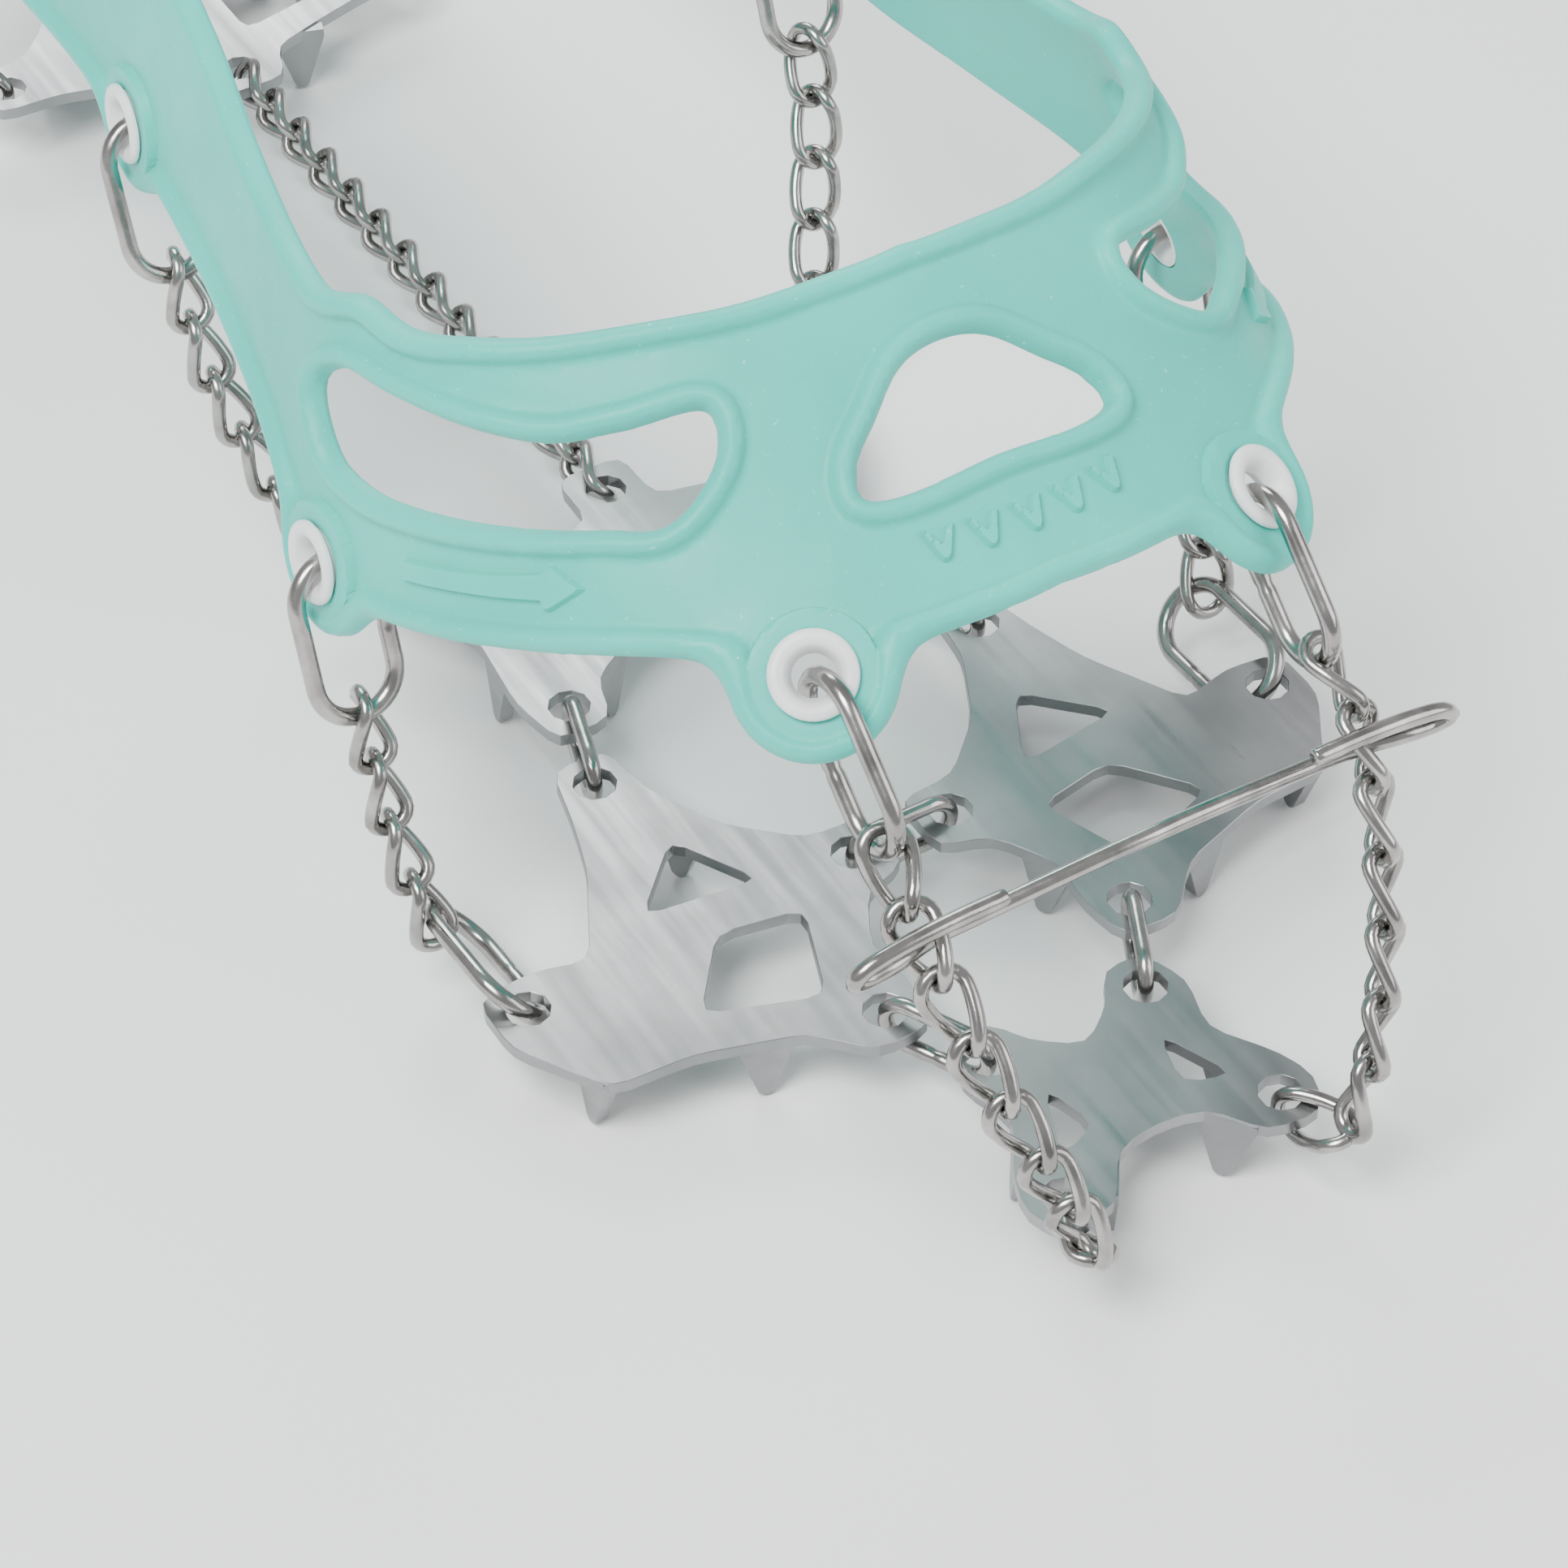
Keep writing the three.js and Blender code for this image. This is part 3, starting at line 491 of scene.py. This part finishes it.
def harnessMesh():
    fineEnd, coarse = harness["fineUpTo"], harness["stationStep"]
    half = np.concatenate([np.arange(0, fineEnd, harness["fineStationStep"]),
                           np.arange(fineEnd, heelBack - coarse / 2, coarse), [heelBack]])
    s = np.concatenate([-half[:0:-1], half])
    bottom, fineLow, fineHigh, top = harness["girths"]
    g = np.concatenate([np.arange(bottom, fineLow, harness["girthStep"]),
                        np.arange(fineLow, fineHigh, harness["fineGirthStep"]),
                        np.arange(fineHigh, top, harness["girthStep"])])
    columns, rows = len(s) - 1, len(g) - 1
    stations, girths = (grid.ravel() for grid in np.meshgrid(s, g, indexing="ij"))
    ids = np.arange((columns + 1) * (rows + 1)).reshape(columns + 1, rows + 1)
    a, b, c, d = ids[:-1, :-1].ravel(), ids[1:, :-1].ravel(), ids[1:, 1:].ravel(), ids[:-1, 1:].ravel()
    tris = np.vstack([np.stack([a, b, c], 1), np.stack([a, c, d], 1)])
    verts = np.stack([stations, girths, depthInside(stations, girths), boreDepth(stations, girths),
                      markDepth(stations, girths)], 1)
    tris = tris[(verts[tris, 2] > -3).any(1)]
    for level, _ in harness["bead"]:
        verts, tris = splitAt(verts, tris, 2, level)
    tris = tris[verts[tris, 2].mean(1) > 0]
    boss = np.array(harness["boss"])
    for level in boss[:, 0]:
        verts, tris = splitAt(verts, tris, 3, level)
    tris = tris[verts[tris, 3].mean(1) > harness["bore"]]
    for level in (0, harness["raisedSlope"]):
        verts, tris = splitAt(verts, tris, 4, level)
    used, back = np.unique(tris, return_inverse=True)
    verts, tris = verts[used], back.reshape(-1, 3)
    bead = np.array(harness["bead"])
    inside = np.array(harness["inside"])
    rise = np.interp(verts[:, 2], bead[:, 0], bead[:, 1])
    rise = np.maximum(rise, np.interp(verts[:, 3], boss[:, 0], boss[:, 1]))
    rise += harness["raised"] * np.clip(verts[:, 4] / harness["raisedSlope"], 0, 1)
    drop = np.interp(verts[:, 2], inside[:, 0], inside[:, 1])
    points = bootPoint(verts[:, 0], verts[:, 1])
    normal = bootNormal(verts[:, 0], verts[:, 1])
    outer, inner = points + normal * rise[:, None], points + normal * drop[:, None]
    # join the two ends at the back of the heel
    count = len(verts)
    weld = np.arange(count)
    seam = np.where(np.abs(np.abs(verts[:, 0]) - heelBack) < 1e-6)[0]
    rightSeam = {round(verts[i, 1], 4): i for i in seam if verts[i, 0] < 0}
    for i in seam:
        if verts[i, 0] > 0 and round(verts[i, 1], 4) in rightSeam:
            weld[i] = rightSeam[round(verts[i, 1], 4)]
    tris = weld[tris]
    edges = {}
    for t in tris:
        for a, b in ((t[0], t[1]), (t[1], t[2]), (t[2], t[0])):
            edges[(a, b)] = True
    faces = [tuple(t) for t in tris] + [(t[0] + count, t[2] + count, t[1] + count) for t in tris]
    faces += [(b, a, a + count, b + count) for a, b in edges if (b, a) not in edges]
    return np.vstack([outer, inner]), faces


points, faces = harnessMesh()
strap = newMesh("harness_strap", points, faces, True, 50)
cleaning = bmesh.new()
cleaning.from_mesh(strap.data)
bmesh.ops.delete(cleaning, geom=[v for v in cleaning.verts if not v.link_faces], context="VERTS")
bmesh.ops.recalc_face_normals(cleaning, faces=cleaning.faces)
cleaning.to_mesh(strap.data)
cleaning.free()
strap.data.materials.append(silicone)
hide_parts("harness")
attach(strap, "harness")
print("harness made", len(strap.data.polygons))


# Says what a piece is made of, which CAD node it stands for and which body it moves with
def ridePiece(piece, node, body, material):
    piece.data.materials.append(material)
    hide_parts(node)
    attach(piece, body)


def lathe(profile, centre, axis, steps=40):
    side = unit(np.cross(axis, [0.2, 0.3, 0.93]))
    other = np.cross(axis, side)
    points, faces = [], []
    count = len(profile)
    for k in range(steps):
        a = 2 * math.pi * k / steps
        for r, h in profile:
            points.append(centre + axis * h + r * (math.cos(a) * side + math.sin(a) * other))
    for k in range(steps):
        n = (k + 1) % steps
        for j in range(count):
            m = (j + 1) % count
            faces.append((k * count + j, n * count + j, n * count + m, k * count + m))
    return np.array(points), faces


grommet = {
    "lift": 1.3, "sharpAngle": 40,      # the profile's rows are radius and height
    "profile": [(2.4, 0.35), (2.65, 0.9), (3.05, 2.3), (3.4, 2.6), (3.85, 2.77), (4.4, 2.75), (4.82, 2.55),
                (5.0, 2.2), (4.95, 1.85), (4.1, 1.85), (4.1, -1.3), (3.4, -1.3), (2.65, -0.4)],
}
ovalLink = {"length": 22.5, "width": 12.6, "wire": 2.2, "seam": 0.12, "seamHalf": 0.5}
joinLink = {"length": 16, "width": 8.4, "wire": 2.0, "seam": 0.1, "seamHalf": 0.5}
hang = {"front": (0.77, 0, -0.64), "side": (0.33, 0, -0.944), "instep": (0.36, 0, -0.933),
        "heel": (0.1, 0, -0.995)}


def ovalPath(middle, along, across, size, steps=72):
    half, radius = (size["length"] - size["width"]) / 2, (size["width"] - size["wire"]) / 2
    total = 4 * half + 2 * math.pi * radius
    path = []
    for i in range(steps):
        d = total * i / steps
        if d < 2 * half:
            x, y = -half + d, radius
        elif d < 2 * half + math.pi * radius:
            a = (d - 2 * half) / radius
            x, y = half + radius * math.sin(a), radius * math.cos(a)
        elif d < 4 * half + math.pi * radius:
            x, y = half - (d - 2 * half - math.pi * radius), -radius
        else:
            a = (d - 4 * half - math.pi * radius) / radius
            x, y = -half - radius * math.sin(a), -radius * math.cos(a)
        path.append(middle + along * x + across * y)
    return np.array(path)


def addRing(name, body, middle, along, across, size):
    points, faces = tube(ovalPath(middle, along, across, size), size["wire"] / 2, 14, True)
    # a shallow butt seam half way along one leg
    seamAt = middle - across * (size["width"] - size["wire"]) / 2
    step = np.abs((points - seamAt) @ along)
    leg = (points - middle) @ across < 0
    near = leg & (step < size["seamHalf"])
    core = seamAt + np.outer((points - seamAt) @ along, along)
    points = np.where(near[:, None], core + (points - core) * (1 - size["seam"]), points)
    ridePiece(newMesh(name + "_wire", points, faces), name, body, wireSteel)


feet = {}
for place in places:
    for hand, side in hands.items():
        station, girth = harness["lugs"][place]
        s = np.array([side * station], float)
        normal = bootNormal(s, np.array([girth], float))[0]
        centre = bootPoint(side * station, girth) + normal * grommet["lift"]
        points, faces = lathe(grommet["profile"][::-1], centre, normal)
        name = f"{place}_{hand}"
        bush = newMesh("grommet_bush_" + name, points, faces, True, grommet["sharpAngle"])
        ridePiece(bush, "grommet_" + name, "harness", nylon)
        along = unit(hang[place])
        facing = np.array([normal[0], 0, normal[2]]) if place == "front" else normal
        outward = unit(facing - along * (facing @ along))
        length = ovalLink["length"] - ovalLink["wire"]
        addRing("oval_link_" + name, "link_" + name, centre + along * length / 2, along, outward, ovalLink)
        feet[name] = (centre + along * length, along)
print("grommets and oval links made")


# A closed link from one point to the middle of an eye, standing upright unless it leans
def addEyeLink(name, body, start, eye, size, lean=0):
    start, eye = np.array(start, float), np.array(eye, float)
    along = unit(eye - start)
    middle = eye + along * (size["wire"] - size["length"]) / 2
    upright = unit(np.array([0, 0, 1.0]) - along * along[2])
    upright = np.array(Matrix.Rotation(math.radians(lean), 3, Vector(along)) @ Vector(upright))
    addRing(name, body, middle, along, upright, size)


# For each link at a plate: body, size, lean, start and eye on the left side
eyeLinks = {
    "sole_link": ("sole_link", ovalLink, -41, (67.7, 53.2, -2.8), (88, 53, -1.4)),
    "toe_join_link": ("join_toe", joinLink, 0, (122, 11, -1.4), (109.5, 17.3, -1.4)),
    "arch_join_link": ("join_arch", joinLink, 0, (46.6, 24, -1.4), (60, 28, -1.4)),
}


def mirrored(rows, side):
    return [np.array([x, side * y, z], float) for x, y, z in rows]


for hand, side in hands.items():
    for name, (body, size, lean, start, eye) in eyeLinks.items():
        start, eye = mirrored((start, eye), side)
        addEyeLink(f"{name}_{hand}", f"{body}_{hand}", start, eye, size, side * lean)
addEyeLink("ball_join_link", "join_ball", (86, -7, -1.4), (86, 7, -1.4), joinLink)
print("links at the plates made")

# Chains. One link is made for each hand, and a node tree sets it along every run.
chain = {
    "wire": 1.75, "width": 7.0, "twist": 38, "pitch": 8.4, "overlap": 0.1,
    "bend": 2.2,        # the length at each end of a link that isn't twisted
    "startInside": 2.65, "toeStart": 2.2,       # how far a run begins inside the link before it
    "ends": 1.5,        # what the first and last links' round ends take from a run
    "routes": {
        "front": [[131, 29.4, 42.5], [137.5, 28.4, 35], [143.5, 26.3, 26], [148.8, 23.2, 17],
                  [152.3, 20, 8.5]],
        "toe": [[152.4, 18, 2.5], [149, 16.2, -1], [143.5, 15, -1.4]],
        "side": [[62.3, 57.9, 18.5], [65.4, 57.6, 10.5], [68.6, 56.9, 4], [71.2, 55.8, -3]],
        "instep": [[-8, 45.3, 27.5], [-5, 43.5, 18.5], [-1, 41, 10], [3.5, 38.4, 3], [8, 35.4, -0.9],
                   [12, 32.5, -1.4]],
        "heel": [[-114.5, 41, 13], [-113, 40, 5.5], [-109.5, 36, -0.5], [-104.5, 31, -1.4]],
        "centre": [[14, 0, -1.4], [-92, 0, -1.4]],
    },
    "links": {"front": 6, "toe": 2, "side": 4, "instep": 6, "heel": 4, "centre": 13},
    "roll": {"front": 52, "toe": 52, "side": 48, "instep": 52, "heel": 52, "centre": 90},
}


def linkLength(pitch):
    return pitch + 2 * chain["wire"] - chain["overlap"]


# A link with its ends turned against each other. The node tree stretches it to a run's own pitch.
def twistedLink(hand):
    size = {"length": linkLength(chain["pitch"]), "width": chain["width"], "wire": chain["wire"]}
    flat = ovalPath(np.zeros(3), np.array([1.0, 0, 0]), np.array([0, 1.0, 0]), size, 36)
    straight = size["length"] / 2 - chain["bend"]
    turn = hand * np.radians(chain["twist"]) * np.clip(flat[:, 0] / straight, -1, 1)
    path = np.stack([flat[:, 0], flat[:, 1] * np.cos(turn), flat[:, 1] * np.sin(turn)], 1)
    points, faces = tube(path, chain["wire"] / 2, 10, True)
    link = newMesh(f"chain_link_{hand}", points, faces)
    return link


def chainTree():
    tree = bpy.data.node_groups.new("linksOnRun", "GeometryNodeTree")
    inputs = {"Geometry": "Geometry", "Link": "Object", "Stretch": "Float", "Finish": "Material"}
    for name, kind in inputs.items():
        tree.interface.new_socket(name, in_out="INPUT", socket_type="NodeSocket" + kind)
    tree.interface.new_socket("Geometry", in_out="OUTPUT", socket_type="NodeSocketGeometry")
    add = tree.nodes.new
    given, made = add("NodeGroupInput"), add("NodeGroupOutput")
    info, place = add("GeometryNodeObjectInfo"), add("GeometryNodeInstanceOnPoints")
    axes = add("FunctionNodeAxesToRotation")
    axes.primary_axis, axes.secondary_axis = "X", "Y"
    aim, flat = add("GeometryNodeInputNamedAttribute"), add("GeometryNodeInputNamedAttribute")
    for node, name in ((aim, "aim"), (flat, "flat")):
        node.data_type = "FLOAT_VECTOR"
        node.inputs["Name"].default_value = name
    scale, real = add("ShaderNodeCombineXYZ"), add("GeometryNodeRealizeInstances")
    finish = add("GeometryNodeSetMaterial")
    scale.inputs["Y"].default_value = scale.inputs["Z"].default_value = 1
    join = tree.links.new
    join(given.outputs["Geometry"], place.inputs["Points"])
    join(given.outputs["Link"], info.inputs["Object"])
    join(info.outputs["Geometry"], place.inputs["Instance"])
    join(aim.outputs["Attribute"], axes.inputs["Primary Axis"])
    join(flat.outputs["Attribute"], axes.inputs["Secondary Axis"])
    join(axes.outputs["Rotation"], place.inputs["Rotation"])
    join(given.outputs["Stretch"], scale.inputs["X"])
    join(scale.outputs["Vector"], place.inputs["Scale"])
    join(place.outputs["Instances"], real.inputs["Geometry"])
    join(real.outputs["Geometry"], finish.inputs["Geometry"])
    join(given.outputs["Finish"], finish.inputs["Material"])
    join(finish.outputs["Geometry"], made.inputs["Geometry"])
    return tree


links = {hand: twistedLink(hand) for hand in (-1, 1)}
tree = chainTree()
socketOf = {item.name: item.identifier for item in tree.interface.items_tree if item.in_out == "INPUT"}


# One run of links as one mesh, replacing the CAD node of the same name
def addChain(node, body, place, route, across, hand):
    count, steps = chain["links"][place], 400
    path, total = smoothPath(route, steps)
    pitch = (total - chain["ends"]) / count
    spots, aims, flats = [], [], []
    for i in range(count):
        share = ((pitch + chain["ends"]) / 2 + i * pitch) / total * (steps - 1)
        k = min(max(int(round(share)), 1), steps - 2)
        along = unit(path[k + 1] - path[k - 1])
        level = unit(across - along * (across @ along))
        roll = Matrix.Rotation(math.radians(hand * chain["roll"][place]), 3, Vector(along))
        level = np.array(roll @ Vector(level))
        spots.append(path[k])
        aims.append(along)
        flats.append(level)
    run = newMesh(node + "_run", spots, [])
    for name, rows in (("aim", aims), ("flat", flats)):
        run.data.attributes.new(name, "FLOAT_VECTOR", "POINT").data.foreach_set("vector", np.ravel(rows))
    modifier = run.modifiers.new("links", "NODES")
    modifier.node_group = tree
    modifier[socketOf["Link"]] = links[hand]
    modifier[socketOf["Stretch"]] = linkLength(pitch) / linkLength(chain["pitch"])
    modifier[socketOf["Finish"]] = wireSteel
    whole = bpy.data.meshes.new_from_object(run.evaluated_get(bpy.context.evaluated_depsgraph_get()))
    whole.shade_smooth()
    bpy.data.objects.remove(run)
    piece = bpy.data.objects.new(node + "_links", whole)
    bpy.context.scene.collection.objects.link(piece)
    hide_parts(node)
    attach(piece, body)
    return spots, aims


eyes = {}
for hand, side in hands.items():
    for place in places:
        foot, along = feet[f"{place}_{hand}"]
        route = [foot - along * chain["startInside"]] + mirrored(chain["routes"][place], side)
        across = np.array([0, side, 0.0]) if place == "front" else np.array([side, 0, 0.0])
        spots, aims = addChain(f"{place}_chain_{hand}", f"chain_{place}_{hand}", place, route, across, -side)
        if place == "front":
            eyes[hand] = (spots[1], aims[1])
            end = route[-1] + unit(route[-2] - route[-1]) * chain["toeStart"]
            toeRoute = [end] + mirrored(chain["routes"]["toe"], side)
            addChain(f"toe_chain_{hand}", f"chain_toe_{hand}", "toe", toeRoute, across, -side)
centreRoute = mirrored(chain["routes"]["centre"], 1)
addChain("centre_chain", "chain_centre", "centre", centreRoute, np.array([0, 1.0, 0]), 1)
for link in links.values():
    bpy.data.objects.remove(link)
print("chains made")

# The toe bar, hooked through the second link of each front chain
toeBar = {
    "wire": 2.0, "bow": (2, 0, 3.2),
    "hook": [[-9, 4.7, -2], [-3, 4.8, -2], [4, 4.7, -1.6], [8.6, 4, -0.8], [10, 2.9, 0.2], [8.4, 1.9, 0.6],
             [4, 1.7, 0.3], [0, 0, 0], [-3.5, -1.7, 0], [-7, -2.1, 0]],
}


def hookPoints(point, along, side):
    sideways = np.array([0, side, 0.0])
    outward = unit(np.cross(along, sideways) * side)
    return [point + sideways * a + outward * b + along * c for a, b, c in toeBar["hook"]]


rightHook = hookPoints(*eyes["right"], -1)
leftHook = hookPoints(*eyes["left"], 1)[::-1]
barMiddle = (rightHook[-1] + leftHook[0]) / 2 + np.array(toeBar["bow"])
path, _ = smoothPath(rightHook + [barMiddle] + leftHook, 170)
points, faces = tube(path, toeBar["wire"] / 2, 16)
ridePiece(newMesh("toe_bar_wire", points, faces, True, 50), "toe_bar", "toe_bar", wireSteel)

# The plates: the CAD solids with their edges chamfered
plates = {"toe_plate": "plate_toe", "ball_plate_right": "plate_ball_right",
          "ball_plate_left": "plate_ball_left", "arch_plate": "plate_arch", "heel_plate": "plate_heel"}
sheetEdge = {"width": 0.00022, "angle": 28, "sharpFrom": 28 / 1.5}
for node, body in plates.items():
    sheet = bmesh.new()
    sheet.from_mesh(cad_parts[node].data)
    bmesh.ops.remove_doubles(sheet, verts=sheet.verts, dist=1e-6)
    bmesh.ops.dissolve_limit(sheet, angle_limit=math.radians(1), verts=sheet.verts, edges=sheet.edges)
    sheet.verts.index_update()
    outline = [[v.index for v in f.verts] for f in sheet.faces]
    plate = newMesh(node + "_sheet", [v.co * 1000 for v in sheet.verts], outline)
    sheet.free()
    edge = plate.modifiers.new("edge", "BEVEL")
    edge.width, edge.segments = sheetEdge["width"], 1
    edge.limit_method, edge.angle_limit = "ANGLE", math.radians(sheetEdge["angle"])
    whole = bpy.data.meshes.new_from_object(plate.evaluated_get(bpy.context.evaluated_depsgraph_get()))
    plate.modifiers.clear()
    plate.data = whole
    whole.set_sharp_from_angle(angle=math.radians(sheetEdge["sharpFrom"]))
    whole.materials.clear()
    ridePiece(plate, node, body, sheetSteel)
print("toe bar and plates made")

# Camera, floor and light
view = {"position": (0.4015, -0.2150, 0.3959), "target": (0.06519, -0.00394, -0.00861), "roll": 0.934,
        "lens": 104.2}
camera = bpy.data.objects.new("camera", bpy.data.cameras.new("camera"))
bpy.context.scene.collection.objects.link(camera)
position = Vector(view["position"])
gaze = (Vector(view["target"]) - position).normalized()
turn = gaze.to_track_quat("-Z", "Y").to_matrix() @ Matrix.Rotation(math.radians(view["roll"]), 3, "Z")
camera.matrix_world = Matrix.Translation(position) @ turn.to_4x4()
camera.data.lens, camera.data.sensor_width = view["lens"], 36
camera.data.clip_start = 0.01
bpy.context.scene.camera = camera

ground = {"size": 8, "gap": 0.0004, "dull": (0.90, 0.90, 0.90), "pale": (0.93, 0.93, 0.93)}
bpy.ops.mesh.primitive_plane_add(size=ground["size"], location=(0, 0, cadBox[0][2] - ground["gap"]))
floor = bpy.context.object
floor.name = "floor"
material, tree, shader, where = nodesOf("pale floor")
tone = ramp(tree, noise(tree, where, 6, 3), [(0.3, ground["dull"]), (0.7, ground["pale"])])
tree.links.new(tone, shader.inputs["Base Color"])
shader.inputs["Roughness"].default_value = 0.9
floor.data.materials.append(material)


# Power, size and place of each lamp
lamps = {"key": (17, 0.55, (0.25, -0.55, 0.95)), "fill": (6, 0.8, (0.8, 0.7, 0.6)),
         "back": (6, 0.5, (-0.8, 0.3, 0.7))}
lampTarget = (0, 0, 0.04)
surround = {"colour": (0.92, 0.94, 0.96, 1), "strength": 0.62}
for name, (power, size, spot) in lamps.items():
    data = bpy.data.lights.new(name, "AREA")
    data.energy, data.size = power, size
    lamp = bpy.data.objects.new(name, data)
    bpy.context.scene.collection.objects.link(lamp)
    aim = (Vector(lampTarget) - Vector(spot)).to_track_quat("-Z", "Y").to_matrix().to_4x4()
    lamp.matrix_world = Matrix.Translation(spot) @ aim
world = bpy.data.worlds.new("world")
bpy.context.scene.world = world
world.use_nodes = True
background = world.node_tree.nodes["Background"]
background.inputs["Color"].default_value = surround["colour"]
background.inputs["Strength"].default_value = surround["strength"]
print("camera, floor and lights made")
